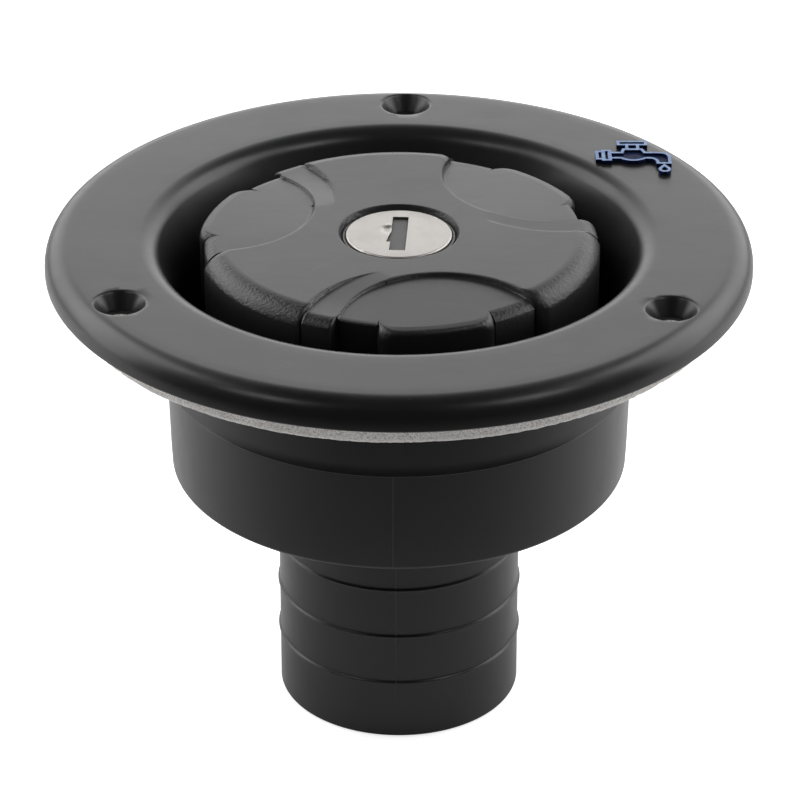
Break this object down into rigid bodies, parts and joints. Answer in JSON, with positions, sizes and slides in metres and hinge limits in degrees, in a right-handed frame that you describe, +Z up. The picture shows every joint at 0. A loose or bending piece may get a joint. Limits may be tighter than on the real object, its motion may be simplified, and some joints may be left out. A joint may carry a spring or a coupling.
{
  "type": "deck fill cap",
  "caption": "Round flush deck fill with a hose tail, a foam gasket and a recessed key-locking bayonet cap with grip lobes.",
  "frame": {"origin": "on the axis at deck level, in the plane of the gasket underside", "axes": "+Z up along the axis out of the deck, -Y towards the front of the fill, as the key slot reads upright"},
  "size_m": [0.114, 0.114, 0.0841],
  "materials": {
    "black_plastic": "satin moulded, fine grain",
    "cap_plastic": "satin moulded, polished edges",
    "grey_foam": "open-cell foam",
    "blue_mark": "painted raised lines",
    "seal_rubber": "soft matte",
    "stainless": "fine brushed",
    "black_metal": "semi-gloss black",
    "zinc": "die-cast",
    "shutter_grey": "satin grey",
    "brass": "stamped"
  },
  "bodies": {
    "housing": {"deck_housing": "black_plastic", "foam_gasket": "grey_foam", "bayonet_neck_ring": "black_plastic", "water_symbol": "blue_mark"},
    "seal": {"cap_seal": "seal_rubber"},
    "cap": {"cap_shell": "cap_plastic", "cap_plug": "black_plastic", "cap_screws": "stainless", "lock_sleeve": "black_metal", "lock_o_ring": "seal_rubber", "lock_nut": "zinc", "bolt_guide_cover": "black_plastic", "cover_screws": "stainless"},
    "plug": {"lock_plug": "zinc", "lock_face_cover": "stainless", "shutter_pin": "stainless", "shutter_spring": "stainless", "wafer_springs": "stainless", "cam_disc": "zinc", "cam_washer": "stainless", "cam_screw": "stainless"},
    "bolt": {"locking_bolt": "stainless"},
    "shutter": {"key_shutter": "shutter_grey"},
    "wafer_1": {"wafer_1": "brass"},
    "wafer_2": {"wafer_2": "brass"},
    "wafer_3": {"wafer_3": "brass"},
    "wafer_4": {"wafer_4": "brass"},
    "wafer_5": {"wafer_5": "brass"},
    "wafer_6": {"wafer_6": "brass"}
  },
  "joints": [
    {"name": "cap_lift", "type": "slide", "parent": "housing", "child": "seal", "axis": [0, 0, 1], "range_m": [0, 0.05]},
    {"name": "cap_turn", "type": "hinge", "parent": "seal", "child": "cap", "pos_m": [0, 0, 0], "axis": [0, 0, -1], "range_deg": [0, 60]},
    {"name": "plug_turn", "type": "hinge", "parent": "cap", "child": "plug", "pos_m": [0, 0, 0], "axis": [0, 0, -1], "range_deg": [0, 90]},
    {"name": "bolt_slide", "type": "slide", "parent": "cap", "child": "bolt", "axis": [0.5505, -0.8348, 0], "range_m": [0, 0.003]},
    {"name": "shutter_swing", "type": "hinge", "parent": "plug", "child": "shutter", "pos_m": [-0.0019, 0.0001, 0.00745], "axis": [0.0523, 0.9986, 0], "range_deg": [0, 80], "deforming": ["shutter_spring"]},
    {"name": "wafer_1_slide", "type": "slide", "parent": "plug", "child": "wafer_1", "axis": [0.0523, 0.9986, 0], "range_m": [0, 0.0009], "deforming": ["wafer_springs"]},
    {"name": "wafer_2_slide", "type": "slide", "parent": "plug", "child": "wafer_2", "axis": [0.0523, 0.9986, 0], "range_m": [0, 0.0005]},
    {"name": "wafer_3_slide", "type": "slide", "parent": "plug", "child": "wafer_3", "axis": [0.0523, 0.9986, 0], "range_m": [0, 0.00075]},
    {"name": "wafer_4_slide", "type": "slide", "parent": "plug", "child": "wafer_4", "axis": [0.0523, 0.9986, 0], "range_m": [0, 0.0006]},
    {"name": "wafer_5_slide", "type": "slide", "parent": "plug", "child": "wafer_5", "axis": [0.0523, 0.9986, 0], "range_m": [0, 0.00085]},
    {"name": "wafer_6_slide", "type": "slide", "parent": "plug", "child": "wafer_6", "axis": [0.0523, 0.9986, 0], "range_m": [0, 0.00065]}
  ],
  "couplings": [
    {"joint": "bolt_slide", "follows": "plug_turn", "m_per_rad": 0.0019098},
    {"joint": "wafer_2_slide", "follows": "wafer_1_slide", "ratio": 0.55556},
    {"joint": "wafer_3_slide", "follows": "wafer_1_slide", "ratio": 0.83333},
    {"joint": "wafer_4_slide", "follows": "wafer_1_slide", "ratio": 0.66667},
    {"joint": "wafer_5_slide", "follows": "wafer_1_slide", "ratio": 0.94444},
    {"joint": "wafer_6_slide", "follows": "wafer_1_slide", "ratio": 0.72222}
  ]
}
